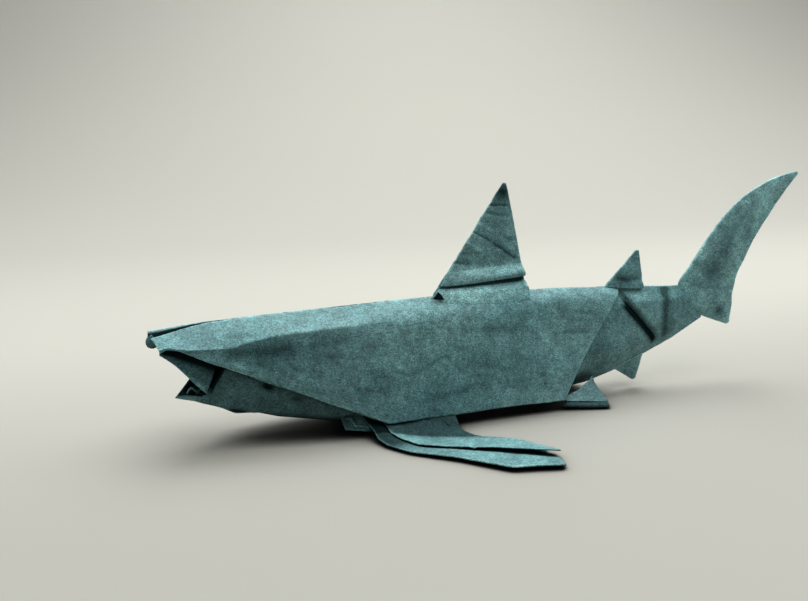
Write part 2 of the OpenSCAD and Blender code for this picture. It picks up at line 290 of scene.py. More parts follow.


# Outer sheet
# creases of the flank; the sunken ones also carry painted shade
NEAR_LINES = [
    (82.2, 15.9, 89.0, 15.2, 0.5, -0.16), (44, 11.9, 47.5, 10.9, 0.4, -0.16),
    (47.5, 10.9, 51.5, 11.9, 0.4, -0.16), (52, 12.5, 57, 14.2, 0.5, -0.1),
    (60, 12.5, 70, 9.0, 0.6, -0.12), (36, 9.5, 43, 8.0, 0.6, -0.1), (30, 16.2, 39, 15.2, 0.8, -0.14),
    (24, 15.0, 30, 12.0, 0.7, -0.12), (58, 18.3, 73, 17.2, 0.9, -0.16), (76, 19.5, 80, 11.5, 1.2, 0.24),
    (80, 11.5, 84, 8.0, 1.0, 0.16), (66, 6.5, 78, 5.5, 0.7, -0.12), (48, 5.2, 60, 6.6, 0.7, -0.1),
    (86, 20.0, 92, 19.0, 0.5, -0.12), (11, 18.3, 26, 18.5, 1.6, -0.22), (13, 16.2, 19, 14.6, 0.7, 0.22),
    (9, 18.0, 12, 16.6, 0.5, 0.12), (26, 18.6, 36, 19.0, 1.4, -0.2),
]
# soft patches on the flank: worn spots, painted light and painted shade
NEAR_MARKS = [
    (9.5, 18.2, 3.0, 0.9, 0.4), (13.5, 16.2, 3.0, 0.9, 0.4), (19, 14.0, 3.4, 1.2, 0.35),
    (25, 11.6, 3.0, 1.2, 0.25), (15, 18.3, 5.0, 1.0, -0.2), (24, 17.6, 7.0, 2.2, -0.3),
    (31, 14.0, 5.0, 2.5, -0.12), (17.8, 16.2, 2.2, 0.8, -0.25), (38, 10.0, 8.0, 2.5, -0.15),
    (33, 15.5, 6.0, 1.5, -0.1), (58, 6.0, 16, 3.0, -0.15), (60, 15.0, 8.0, 2.0, -0.12),
    (84, 18.5, 5.0, 2.0, -0.12), (79, 12.5, 3.0, 4.0, 0.22), (88, 15.5, 4.0, 1.0, -0.1),
    (46, 20.5, 8.0, 1.5, 0.12), (93, 20, 3.0, 3.0, 0.1), (62, 18, 22, 6, 0.16), (60, 5, 14, 4, 0.22),
]


def outer(side):
    """Half of the outer sheet, from the ridge over the shoulder and round the hem to its inner layer."""
    far = side > 0
    stations = np.linspace(0, ROOF_REAR, int(ROOF_REAR / CELL) + 1)
    ridge_line = ridge_z(stations)
    seam = np.clip(1 - stations / SEAM_REAR, 0, 1)
    # widths in mm of the parts of a section, and of the worn line along a sharp fold
    top = 6.0
    flank = 20
    inner = 12
    worn = 0.4
    crease = flank_point(stations, 0.0, 0)
    ridge = np.stack([stations, 0.9 * seam, ridge_line + (0.95 * seam if far else 0)], -1)
    strips = []
    if far:
        for k in np.linspace(1, 0, 5, endpoint=False):
            down = 1.3 * k * seam + 0.02 * k
            strips.append(ridge - np.stack([0 * stations, 0.25 * k * seam, down], -1))
    n_seam = len(strips)
    n_top = n_seam + max(6, int(top / CELL))
    for k in np.linspace(0, 1, n_top - n_seam, endpoint=False):
        p = mix(ridge, crease, k)
        p[:, 2] += ROOF_BULGE * math.sin(math.pi * k)
        strips.append(p)
    n_side = max(10, int(flank / CELL))
    for f in np.linspace(0, 1, n_side, endpoint=False):
        strips.append(flank_point(stations, f, 0))
    low = low_station(stations)
    ey, ez = edge_low(low)
    for t in np.linspace(0, math.pi, 7):
        y = ey - GAP / 2 + GAP / 2 * math.cos(t)
        z = ez + GAP / 2 - (GAP / 2 - PLY / 2) * math.sin(t)
        strips.append(np.stack([low, y, z], -1))
    for f in np.linspace(0.95, 0.34, max(6, int(inner / CELL))):
        strips.append(flank_point(stations, f, GAP))
    g = np.stack(strips, 1)
    if far:
        ahead = np.clip(1 - g[..., 0] / SNOUT, 0, 1) ** 1.2
        g[..., 0] -= 0.5 * ahead * np.clip(1 - g[..., 1] / 5.5, 0, 1)
    fine = smoothed(g, 0.3 / CELL, 0.25 / CELL)
    soft = smoothed(g, 0.3 / CELL, 2.3 / CELL)
    j = np.arange(g.shape[1])[None, :, None]
    upper = np.clip((n_top + n_side * 0.5 - j) / (n_side * 0.2), 0, 1)
    upper = upper * np.clip((j - n_seam) / 6.0, 0, 1)
    g = mix(fine, soft, step(26, 50, stations)[:, None, None] * upper)
    # a fold keeps its colour worn where it is sharp: the crease, the hem and the front edge
    column = np.arange(g.shape[1])[None, :] * np.ones((g.shape[0], 1))
    at_crease = np.exp(-(((column - n_top) * CELL / worn) ** 2))
    at_hem = np.exp(-(((column - n_top - n_side - 1) * CELL / worn) ** 2))
    tone = at_crease * (0.5 * (1 - step(28, 46, stations)))[:, None]
    tone = np.maximum(tone, at_hem * 0.7)
    tone = np.maximum(tone, rim(g.shape, 0.6 / CELL, (1, 1, 0 if far else 1, 0)) * 0.5)
    # painted shade: the flank darker towards its lower edge
    tone = tone - 0.22 * np.clip((15 - g[..., 2]) / 9, 0, 1) * (column < n_top + n_side)
    # painted shade: the inner layer under the flank is dark
    tone = np.where(column > n_top + n_side + 4, -0.9, tone)
    # painted shade deep in the far half's open seam, and a light worn edge beside it
    if far:
        tone = np.where(column < n_seam - 1, -0.95, np.where(column < n_seam + 1, 0.5, tone))
    pin = 1 - 0.8 * np.exp(-((g[..., 0] / 3.0) ** 2))
    pin = pin * np.clip(0.3 + 0.23 * np.abs(column - n_seam), 0, 1)
    pin = pin * np.where(column > n_top + n_side + 3, -1, 1)
    lines = NEAR_LINES
    if far:
        lines = [(a + 2, b - 0.6, c + 1, d + 0.5, w, e) for a, b, c, d, w, e in NEAR_LINES]
    lay(g, PLY, tone, 0.85, 31.0 if far else 0.0, lines, pin, side, NEAR_MARKS)


def nose(side):
    """The far half's tip, rolled under and dark with painted shade."""
    if side < 0:
        return
    curve = [(0.3, 21.55), (-0.15, 21.35), (-0.6, 20.8), (-0.85, 20.1), (-0.6, 19.4), (0.1, 19.0),
             (1.2, 19.3)]
    rows = []
    for s, z in curve:
        rows.append([[1.2, 0.25, 20.2], [mix(1.2, s, 0.6), 0.3, mix(20.2, z, 0.6)],
                     [s, 0.4, z], [s, 1.4, z], [s + 0.3, 2.6, z - 0.2]])
    panel(rows, PLY, 0.2, 0.15, 0.0, side=side, edge=(0, 0, 0, 0), shade=even(-0.5))


# Throat, belly and tail stem
def inner_point(s, f, w=0.85):
    """Point of the flank's inner layer, as plain numbers."""
    return [float(v) for v in flank_point(s, f, w)]


def belly_half(s, keel, y, z):
    """Half a section of throat and belly, from the keel up to the flank's inner layer."""
    w = inner_point(s, 0.5, 0)[1] - 1.7
    cz = float(crease_z(s))
    return [[s, 0, keel], [s, y, z], [s, mix(y, w, 0.45), mix(z, cz, 0.3)],
            [s, mix(y, w, 0.9), mix(z, cz, 0.6)], inner_point(s, 0.2)]


def stem_half(low, high, y, z):
    """Half a slanted section of the tail stem, from its lower to its upper station."""
    rz = float(ridge_z(high))
    return [[low, 0, z], [mix(low, high, 0.14), 0.8 * y, mix(z, rz, 0.22)],
            [mix(low, high, 0.36), y, mix(z, rz, 0.4)],
            [mix(low, high, 0.78), 0.95 * y, mix(z, rz, 0.76)], [high, 0.0, rz]]


JAW_NEAR = [[3.6, 0, 9.5], [5.2, 1.5, 10.2], [8.7, 3.4, 10.3], [11.7, 4.0, 15.5],
            inner_point(12.8, 0.3)]
JAW_FAR = [[3.6, 0, 9.5], [5.0, 1.2, 10.6], [6.6, 2.6, 12.2], [10.2, 4.0, 15.5], inner_point(12.0, 0.3)]
KEEL = [
    JAW_NEAR,
    [[8.0, 0, 8.2], [8.6, 2.7, 8.75], [10.4, 3.5, 11.2], [12.8, 3.9, 15.5], inner_point(13.9, 0.28)],
    [[12.0, 0, 6.5], [12.4, 3.1, 7.6], [12.9, 3.7, 11.6], [14.0, 4.1, 15.5], inner_point(15, 0.26)],
    [[14.3, 0, 5.2], [14.8, 3.1, 6.9], [15.0, 4.0, 10.8], [15.6, 4.5, 15.3], inner_point(16.4, 0.24)],
    [[18.3, 0, 4.9], [18.8, 3.8, 6.2], [19.0, 4.3, 10.4], [19.2, 4.7, 15.0], inner_point(19.5, 0.22)],
    [[22.6, 0, 3.5], [23.0, 4.1, 5.5], [23.2, 4.6, 9.2], [23.4, 5.2, 14.4], inner_point(23.4, 0.22)],
    [[28, 0, 2.4], [28, 4.3, 4.7], [28, 4.9, 9.6], [28, 5.4, 14.4], inner_point(28, 0.2)],
    belly_half(34, 1.1, 4.6, 3.7), belly_half(42, 0.8, 6, 2.7), belly_half(51, 0.8, 6.1, 2.6),
    belly_half(60, 0.9, 6.1, 2.6), belly_half(69, 1.1, 5.9, 2.9), belly_half(77, 1.5, 5.4, 3.6),
    belly_half(84, 2, 4.2, 5), stem_half(91.5, 93.5, 2.8, 2.7), stem_half(99, 95.2, 2.3, 4.7),
    stem_half(109.6, 96.4, 2.0, 8.9), stem_half(110.1, 97.0, 1.0, 9.1),
    stem_half(111.2, 98.4, 0.95, 9.5), stem_half(111.7, 99.0, 1.95, 9.7),
    stem_half(112.3, 110.8, 1.65, 10.0), stem_half(112.7, 111.2, 0.7, 10.2),
    stem_half(113.8, 112.6, 0.7, 10.6), stem_half(114.3, 113.2, 1.4, 10.8),
    stem_half(122.8, 117.8, 0.15, 15.2),
]
# creases of the throat, mouth and stem; the sunken ones carry painted shade, among them the gap behind
# the lip
THROAT_LINES = [
    (18.5, 11.7, 21.1, 10.4, 0.6, -0.25), (23.6, 8.7, 26.5, 7.7, 0.6, -0.2), (14, 12, 17, 8, 0.6, 0.15),
    (12.4, 17.4, 11.8, 15.5, 0.5, -0.5), (11.8, 15.5, 9.2, 11.0, 0.45, -0.5),
    (12.8, 7.3, 16.2, 6.4, 0.4, -0.3), (99.2, 21.0, 109.4, 10.9, 0.9, -0.3),
    (110.9, 22.9, 111.7, 12.4, 0.85, -0.1), (116, 19, 121, 20, 0.5, -0.1), (86, 17, 93, 8, 0.8, -0.1),
]
# crimps of the stem, drawn as dark bands of painted shade: upper and lower end in the side view, width
# and tone
CRIMPS = [((99.6, 20.6), (109.6, 10.6), 1.2, -1.0), ((111.1, 23.4), (111.9, 11.5), 1.5, -0.8)]
# soft patches of painted light and shade on the stem
STEM_MARKS = [(104, 21, 3.0, 1.6, 0.15), (92, 12, 3.0, 5.0, -0.1), (115, 17.5, 2.0, 3.0, 0.12)]


def keel(side):
    """One half of the sheet that forms jaw, throat, belly and tail stem."""
    rows = [JAW_FAR] + KEEL[1:] if side > 0 else KEEL
    g = refine(rows, CELL, 0.22, 0.3)
    st = g[..., 0]
    z = g[..., 2]
    throat = 1 - step(30, 44, st)
    # painted shade: the throat is dark, darkest just under the flank's edge
    below = edge_low(np.maximum(st, SNOUT))[1] - z
    tone = -0.5 * throat - 0.5 * throat * np.clip(1 - below / 1.6, 0, 1)
    # the crimps get bands of painted shade
    for (s1, z1), (s2, z2), width, dark in CRIMPS:
        along = ((st - s1) * (s2 - s1) + (z - z1) * (z2 - z1)) / ((s2 - s1) ** 2 + (z2 - z1) ** 2)
        off = ((st - s1) * (z2 - z1) - (z - z1) * (s2 - s1)) / math.hypot(s2 - s1, z2 - z1)
        ends = np.clip(np.minimum(along, 1 - along) * 10 + 0.5, 0, 1)
        tone = tone + dark * np.exp(-((off / width) ** 4)) * ends
    tone = tone + 0.2 * step(94, 100, st)
    # painted shade along the keel's underside in the throat
    from_keel = np.arange(g.shape[1])[None, :] * CELL
    tone = tone - 0.9 * np.exp(-((from_keel / 0.9) ** 2)) * step(15, 19, st) * throat
    hem = np.exp(-(((z - 9.7) / 0.55) ** 2)) * (1 - step(8.2, 9.6, st)) * 0.6
    tone = tone + hem + rim(g.shape, 0.5 / CELL, (1, 0, 0, 0)) * np.where(z < 12, 0.7, 0)
    pin = np.clip(np.arange(g.shape[1]) / 4.0, 0, 1)[None, :] * np.ones((g.shape[0], 1))
    pin = pin * np.where(st > 96, 0.45, 1)
    # faces darkens one face of the sheet with painted shade
    lay(g, FOLD, tone, 0.75, 11.0 if side < 0 else 47.0, THROAT_LINES, pin, side, STEM_MARKS,
        faces=(-0.7, 0))


# Mouth
def lips(side):
    """The flap that hangs inside the flank's front edge and closes the mouth's side."""
    rows = [
        [[1.3, 3.0, 19.3], [1.3, 3.3, 19.0], [1.3, 3.6, 18.8]],
        [[3.6, 2.5, 19.6], [3.6, 3.2, 18.3], [3.7, 3.6, 16.7]],
        [[6.3, 2.5, 19.4], [6.3, 3.25, 17.2], [6.3, 3.75, 13.7]],
        [[9.0, 2.6, 18.8], [8.6, 3.45, 16.3], [7.8, 3.85, 12.1]],
        [[11.5, 2.9, 18.2], [10.7, 3.75, 15.4], [8.9, 3.85, 10.8]],
    ]

    def shade(g):
        # painted shade: black at the top of the flap, deep under the flank's edge, lighter lower down
        v = np.linspace(0, 1, g.shape[1])[None, :] * np.ones((g.shape[0], 1))
        return -0.45 - 0.55 * np.clip((0.62 - v) / 0.2, 0, 1)

    panel(rows, FOLD, 0.25, 0.15, 0.3, 5.0, [(6.2, 14.3, 8.6, 11.6, 0.3, 0.3)], side, (0, 0, 0, 1),
          shade=shade)
    # the turned-in front of the lip, dark with painted shade
    rows = [[[6.5, 3.7, 13.7], [6.9, 3.2, 14.2]], [[7.7, 3.65, 12.3], [8.0, 3.1, 12.8]],
            [[8.7, 3.6, 11.0], [8.9, 3.0, 11.7]]]
    panel(rows, FOLD, 0.25, 0.1, 0.0, side=side, wear=0, shade=even(-0.6))


def palate(side):
    """Inner layers that close the roof of the mouth and the back of the jaw, black with painted shade.
    """
    rows = []
    for s, z in ((2.2, 19.9), (6, 19.6), (10, 18.6), (15, 16.5)):
        rows.append([[s, 0, z + 0.5], [s, 2.4, z + 0.2], [s + 0.4, float(crease_y(s)) - 0.9, z - 0.2]])
    panel(rows, FOLD, 0.5, 0.4, 0.4, 3.0, side=side, shade=even(-1))
    rows = []
    for s, z, y in ((7.2, 9.6, 2.0), (10, 8.6, 2.6), (16, 7.2, 3.4), (24, 6.0, 4.2)):
        rows.append([[s, 0, z], [s, y * 0.6, z + 0.2], [s, y, z + 1.2]])
    panel(rows, PLY, 0.5, 0.4, 0.4, 8.0, side=side, shade=even(-1))


def curl(side):
    """The curled inner edge of the sheet that shows between the near lip and the jaw."""
    if side > 0:
        return
    line = [(5.6, 10.5), (5.8, 10.9), (6.2, 11.35), (6.6, 11.4), (7.1, 10.75), (7.6, 10.6), (8.0, 10.8),
            (8.3, 11.3)]
    rows = [[[s, 1.5, z - 0.05], [s + 0.1, 0.8, z + 0.05]] for s, z in line]
    panel(rows, 0.13, 0.12, 0.12, 0.0, side=side, shade=even(0.3))


# Fins
def leaf(front, rear, half, side, shares=(0, 0.3, 0.7, 1), **kw):
    """One half of an upright fin between a front and a rear edge, with its half widths."""
    rows = []
    for i, (a, b, h) in enumerate(zip(front, rear, half)):
        if not isinstance(h, (tuple, list)):
            h = [0.05 if i == 0 else 0.06] + [h] * (len(shares) - 2) + [0.8 * h]
        rows.append([[mix(a[0], b[0], k), hh, mix(a[1], b[1], k)] for k, hh in zip(shares, h)])
    panel(rows, side=side, **kw)


def dorsal(side):
    """Back fin with a flared foot, a dark recess and a pleat above it."""
    foot_f = (54.1, 24.0)
    foot_r = (75.9, 24.1)
    tip_f = (69.8, 47.4)
    tip_r = (70.4, 47.3)
    # from the foot up: flared foot, black recess, strip, bright band and fin; they climb to the rear
    bands = [
        (0.0, 0.0, 3.8), (0.02, 0.02, 2.8), (0.06, 0.066, 1.9), (0.098, 0.118, 1.0),
        (0.103, 0.128, 0.38), (0.118, 0.175, 0.36), (0.122, 0.182, 1.5), (0.145, 0.205, 1.65),
        (0.16, 0.218, 1.55), (0.235, 0.292, 0.5), (0.36, 0.40, 0.48), (0.52, 0.52, 0.5),
        (0.72, 0.72, 0.42), (0.84, 0.84, 0.34), (1.0, 1.0, 0.12),
    ]
    front = [(mix(foot_f[0], tip_f[0], k), mix(foot_f[1], tip_f[1], k)) for k, _, _ in bands]
    rear = [(mix(foot_r[0], tip_r[0], k), mix(foot_r[1], tip_r[1], k)) for _, k, _ in bands]
    # the two lowest rows lie along the back, and the lowest one dips into it
    for i, above in ((0, -3.4), (1, -0.75)):
        y = bands[i][2]
        front[i] = (front[i][0], float(back_z(front[i][0] + 1.5, y)) + above)
        rear[i] = (rear[i][0], float(back_z(rear[i][0], y)) + above)
    half = []
    for i, (_, _, y) in enumerate(bands):
        f0 = 1.2 if i < 2 else 0.6 if i == 2 else 0.25 if i < 9 else 0.07
        half.append([min(f0, y), mix(f0, y, 0.6), y, y * 1.02, y * 0.95])
    lines = [
        (63.3, 37.7, 67.5, 35.4, 0.3, -0.34), (67.5, 35.4, 73.2, 31.6, 0.4, -0.45),
        (64, 39.2, 70, 36.8, 0.5, 0.2), (61.5, 35.5, 66, 33.0, 0.45, 0.18),
        (60.2, 33.2, 66.4, 33.4, 0.4, -0.16), (65.8, 41.4, 71.0, 40.6, 0.35, -0.18),
        (66.2, 43.0, 71.0, 42.8, 0.3, -0.3), (63.0, 39.5, 66.5, 40.8, 0.3, 0.14),
        (66.5, 38.6, 72, 35.5, 0.35, -0.14), (59.0, 31.6, 62.5, 31.0, 0.4, -0.22),
        (68.5, 33.4, 72.6, 33.9, 0.35, 0.14),
    ]
    # painted highlight on the flared foot and the bright band, painted shade in patches, a dark patch at
    # the tip and a few light streaks
    marks = [
        (69.4, 45.6, 3.0, 2.4, -1.1), (64.5, 34.5, 6.0, 3.0, -0.15), (62.0, 32.0, 4.0, 1.2, -0.25),
        (67.5, 39.5, 2.5, 1.6, -0.2), (66.0, 29.7, 10.5, 0.9, 1.1), (66.0, 25.2, 13.0, 1.4, 1.4),
        (72.3, 36.0, 0.8, 4.0, 0.25), (64.2, 41.8, 0.8, 2.0, 0.2),
    ]
    if side > 0:
        lines = [(a + 0.8, b + 0.7, c - 0.6, d - 0.5, w, e) for a, b, c, d, w, e in lines]

    def shade(g):
        """Painted shade in the recess under the strip; the rest of the fin a little lighter."""
        k = (g[..., 0] - foot_f[0]) / (foot_r[0] - foot_f[0])
        middle = mix(26.5, 27.5, k)
        half_height = mix(0.34, 0.8, np.clip(k, 0, 1))
        inside = g[..., 1] < 0.9
        return 0.17 - 1.2 * np.exp(-(((g[..., 2] - middle) / half_height) ** 2)) * inside

    leaf(front, rear, half, side, shares=(0, 0.06, 0.3, 0.7, 1), t=0.26, du=0.2, r=0.13, crum=0.55,
         seed=2.0 if side < 0 else 19.0, lines=lines, marks=marks, shade=shade)
    if side > 0:
        return
    # the hole at the front of the foot, a small sheet black with painted shade, and the light fold
    # beside it
    hole = [[[53.7, 1.75, 24.7], [56.2, 2.2, 24.5]], [[54.3, 1.6, 25.4], [55.9, 1.8, 25.2]],
            [[54.9, 1.3, 26.0], [55.3, 1.35, 26.0]]]
    panel(hole, 0.1, 0.2, 0.05, 0.0, side=side, wear=0, shade=even(-1))
    fold = [[[53.4, 1.9, 24.9], [53.8, 2.0, 24.7]], [[54.2, 1.7, 25.6], [54.5, 1.8, 25.4]],
            [[55.1, 1.35, 26.5], [55.4, 1.4, 26.3]]]
    panel(fold, 0.12, 0.2, 0.05, 0.0, side=side, wear=0.6)


def curved(points, parts=4):
    """A smooth line through the points, with the given number of steps between two of them."""
    p = np.array(points, float)
    p = np.concatenate([[2 * p[0] - p[1]], p, [2 * p[-1] - p[-2]]])
    out = []
    for i in range(1, len(p) - 2):
        for t in np.arange(parts) / parts:
            a, b, c, d = p[i - 1:i + 3]
            square = (2 * a - 5 * b + 4 * c - d) * t**2
            cube = (3 * b - a - 3 * c + d) * t**3
            out.append(0.5 * (2 * b + (c - a) * t + square + cube))
    out.append(p[-2])
    return [tuple(q) for q in out]


def second(side):
    """Second back fin."""
    shares = [0, 0.12, 0.22, 0.34, 0.65, 1]
    front = [(mix(95.5, 103.3, k), mix(24.1, 32.0, k)) for k in shares]
    rear = [(mix(105.5, 103.9, k), mix(23.3, 31.9, k)) for k in shares]
    lines = [(97.9, 26.3, 102.4, 24.6, 0.7, -0.16)]
    # painted highlight on a band and painted shade near the foot
    marks = [(101.5, 28.6, 2.0, 1.4, 0.4), (100.0, 25.5, 2.2, 0.8, -0.45)]
    leaf(front, rear, [1.0, 0.9, 0.3, 0.6, 0.4, 0.12], side, t=0.28, du=0.3, r=0.2, crum=0.4, seed=6.0,
         lines=lines, marks=marks)


def anal(side):
    """Small fin under the tail stem."""
    front = [(98.6, 5.4), (101.5, 3.7), (104.4, 1.9)]
    rear = [(106.6, 8.2), (106.0, 5.3), (105.1, 2.1)]
    leaf(front, rear, [0.5, 0.36, 0.16], side, t=0.28, du=0.35, r=0.2, crum=0.35, seed=7.0)


def tail(side):
    """Tail fin with a curved outline."""
    front = [(130.4, 13.0), (123.4, 15.4), (118.2, 18.0), (115.6, 23.2), (118.6, 27.6), (122.2, 32.7),
             (127, 38.5), (132.5, 43.2), (140.2, 46.9), (147.5, 48.7)]
    rear = [(131.1, 13.3), (131.2, 17.3), (131.0, 20.0), (131.2, 21.4), (132.0, 25.4), (133.6, 28.3),
            (136.0, 32.9), (139.6, 38.2), (143.8, 43.6), (148.0, 48.3)]
    half = [0.14, 0.42, 0.55, 0.62, 0.6, 0.55, 0.5, 0.42, 0.3, 0.14]
    front = curved(front)
    rear = curved(rear)
    half = [h for (h,) in curved([(h,) for h in half])]
    lines = [(126.4, 17.4, 128.6, 15.2, 0.9, -0.2), (119, 25, 124, 33, 0.5, 0.12),
             (117.5, 22.8, 129, 21.6, 0.4, -0.15), (126.5, 29, 131, 37, 0.9, -0.08),
             (131, 37, 137, 43, 0.6, -0.1)]
    # painted shade in the pocket at the fin's root and in patches up the fin, and lighter patches
    marks = [(124.8, 26.6, 2.8, 3.6, -1.15), (128.4, 32.0, 2.6, 4.6, -0.8), (132.5, 38, 2.6, 4.0, -0.4),
             (118.6, 22.8, 3.0, 1.1, 0.3), (127.6, 16.2, 2.0, 1.8, -0.9), (121.5, 31.5, 1.4, 3.0, 0.25),
             (136, 42, 8.0, 6.0, 0.2), (119, 20, 4.0, 4.0, 0.15), (120, 17.5, 3.0, 1.5, -0.15)]
    leaf(front, rear, half, side, t=0.3, du=0.35, r=0.3, crum=0.45, seed=9.0, lines=lines, marks=marks,
         shade=even(0.6))


LEAF_FRONT = [(41.9, 10.6), (42.9, 13.6), (44.9, 17.0), (50.4, 20.0), (57.2, 23.4), (62.6, 26.8),
              (67.4, 29.6)]


def pectoral(side):
    """Front fin: a folded strap along its front edge, and a leaf just above the strap's rear."""
    seed = 13.0 if side < 0 else 57.0
    strap = [
        [[37.0, 6.2, 4.2], [38.8, 6.4, 4.0], [40.4, 6.6, 3.6]],
        [[38.2, 7.4, 2.6], [39.6, 7.6, 2.5], [41.0, 7.9, 2.2]],
        [[38.9, 9.4, 1.6], [40.3, 9.5, 1.6], [41.6, 9.6, 1.3]],
        [[38.9, 11.8, 0.95], [40.6, 11.8, 1.15], [42.0, 11.6, 0.8]],
        [[39.8, 14.6, 0.7], [41.6, 14.3, 0.95], [43.4, 13.8, 0.6]],
        [[42.8, 18.8, 0.6], [44.6, 18.0, 0.75], [46.2, 16.4, 0.35]],
        [[50.0, 24.6, 0.8], [51.4, 22.2, 0.75], [53.4, 19.6, 0.3]],
        [[56.8, 31.6, 0.95], [58.2, 27.6, 0.8], [59.8, 23.4, 0.35]],
        [[61.5, 32.6, 0.95], [62.6, 29.6, 0.8], [63.8, 25.8, 0.4]],
        [[65.8, 33.8, 0.9], [66.4, 31.6, 0.8], [67.0, 28.6, 0.45]],
    ]

    def shade(g):
        st = g[..., 0]
        y = g[..., 1]
        reach = table(st, [(42, 0.1), (50, 0.4), (57, 0.8), (67, 1.2)])
        under_leaf = 1 - step(reach - 0.25, reach + 0.25, y - table(st, LEAF_FRONT))
        # painted shade on the strap's root under the flank, and a painted shadow where the leaf's edge
        # overhangs the strap
        return -np.maximum(0.9 * (1 - step(14.5, 19.5, y)), 1.2 * under_leaf)

    panel(strap, 0.24, 0.3, 0.25, 0.3, seed, side=side, rv=0.35, edge=(0, 1, 1, 0), shade=shade,
          faces=(0.15, 0))
    # a dark sheet under the strap, painted in shade
    under = [[[p[0] + 0.5, p[1] - 0.5, max(0.14, p[2] - 0.34)] for p in r] for r in strap[3:]]
    panel(under, 0.2, 0.4, 0.25, 0.1, seed, side=side, wear=0, shade=even(-0.9))
    wall = [
        [[41.0, 7.0, 3.9], [45.5, 7.0, 3.8], [50, 6.9, 3.7], [55.4, 6.8, 3.6]],
        [[41.4, 8.2, 2.2], [45.5, 8.2, 1.9], [50, 8.4, 1.7], [55.9, 8.4, 1.7]],
        [[41.9, 10.6, 1.2], [46.0, 10.6, 0.75], [50.5, 10.8, 0.6], [56.1, 10.6, 0.75]],
        [[42.9, 13.6, 1.05], [47.0, 13.4, 0.6], [51.5, 13.2, 0.5], [56.0, 13.4, 0.7]],
        [[44.9, 17.0, 1.05], [48.8, 16.4, 0.75], [53, 15.8, 0.6], [57.4, 16.6, 0.7]],
        [[50.4, 20.0, 1.05], [53.2, 18.8, 0.85], [56.4, 17.8, 0.7], [61.3, 18.8, 0.75]],
        [[57.2, 23.4, 1.25], [59.2, 21.8, 1.05], [61.4, 20.4, 0.85], [64.0, 20.8, 0.8]],
        [[62.6, 26.8, 1.5], [63.4, 25.4, 1.25], [64.4, 24.2, 1.0], [65.8, 24.4, 0.9]],
        [[67.4, 29.6, 1.65], [67.5, 29.0, 1.5], [67.5, 28.6, 1.35], [67.6, 28.2, 1.1]],
    ]

    def root_shade(g):
        # painted shade on the root wall under the flank, fading out towards the leaf
        start = 12.3 + 0.4 * (g[..., 0] - 47)
        return -1.5 * (1 - step(start - 1.0, start + 1.6, g[..., 1]))

    # faces darkens one face of the wall with painted shade
    panel(wall, 0.24, 0.3, 0.25, 0.35, seed + 3, side=side, rv=0.3, edge=(0, 1, 1, 1), shade=root_shade,
          lines=[(54.9, 3.6, 53.9, 0.6, 0.4, 0.25)], wear=0.5, faces=(-1.4, 0.15))
    # a sheet on the floor under the fin, dark with painted shade
    sole = [
        [[43.6, 12.6, 0.14], [50, 12.6, 0.14], [56, 12.6, 0.14]],
        [[49, 18.6, 0.12], [54, 17.2, 0.12], [60, 17.0, 0.12]],
        [[57.6, 28.4, 0.12], [61, 25.0, 0.12], [65, 22.0, 0.12]],
        [[65.2, 30.8, 0.12], [66, 28.0, 0.12], [66.8, 26.0, 0.12]],
    ]
    panel(sole, PLY, 0.6, 0.2, 0.0, side=side, wear=0, shade=even(-0.9))
    # the rear corner of the root wall, folded under the belly, dark with painted shade
    flap = [
        [[52.4, 6.6, 3.8], [56.4, 6.4, 3.7]],
        [[53.2, 8.2, 1.8], [56.4, 8.2, 1.9]],
        [[54.2, 10.2, 0.8], [56.2, 10.4, 0.8]],
    ]
    panel(flap, FOLD, 0.3, 0.25, 0.2, seed, side=side, wear=0, shade=even(-0.85))


def pelvic(side):
    """Rear fin: a lighter top layer on a thick fold and a low layer dark with painted shade, resting
    just off the floor.
    """
    top = [
        [[81.6, 7.2, 2.3], [86, 6.0, 3.1], [90.6, 3.6, 4.4], [93.2, 0.4, 4.2]],
        [[81.9, 7.6, 2.0], [86, 7.6, 2.3], [90.7, 6.6, 2.8], [92.6, 2.4, 3.0]],
        [[82.2, 7.9, 1.8], [86, 8.8, 1.6], [90.5, 9.9, 1.35], [91.6, 8.2, 1.5]],
    ]
    panel(top, 0.3, 0.3, 0.25, 0.4, 21.0, side=side, wear=0.3, shade=even(-0.35))
    fold = [
        [[82.2, 7.8, 1.7], [86, 8.7, 1.45], [90.5, 9.9, 1.2], [91.5, 8.2, 1.3]],
        [[81.6, 8.1, 1.1], [86, 9.5, 0.8], [90.9, 10.9, 0.7], [91.9, 8.8, 0.8]],
        [[81.4, 7.9, 0.8], [86, 9.2, 0.45], [90.6, 10.5, 0.3], [91.6, 8.4, 0.4]],
        [[81.2, 7.2, 1.0], [86, 7.6, 0.5], [90.2, 8.2, 0.3], [92.0, 4.6, 0.9]],
    ]
    panel(fold, 0.28, 0.3, 0.25, 0.2, 23.0, side=side, wear=0, shade=even(-0.8))
    low = [
        [[81.2, 7.6, 1.3], [86, 6.4, 1.9], [92.9, 0.2, 3.0]],
        [[81.3, 7.8, 0.95], [86, 8.4, 0.7], [91.4, 5.6, 1.4]],
        [[81.4, 7.9, 0.8], [86, 9.0, 0.5], [90.2, 9.8, 0.35]],
    ]
    panel(low, 0.3, 0.3, 0.25, 0.2, 25.0, side=side, wear=0, shade=even(-0.9))


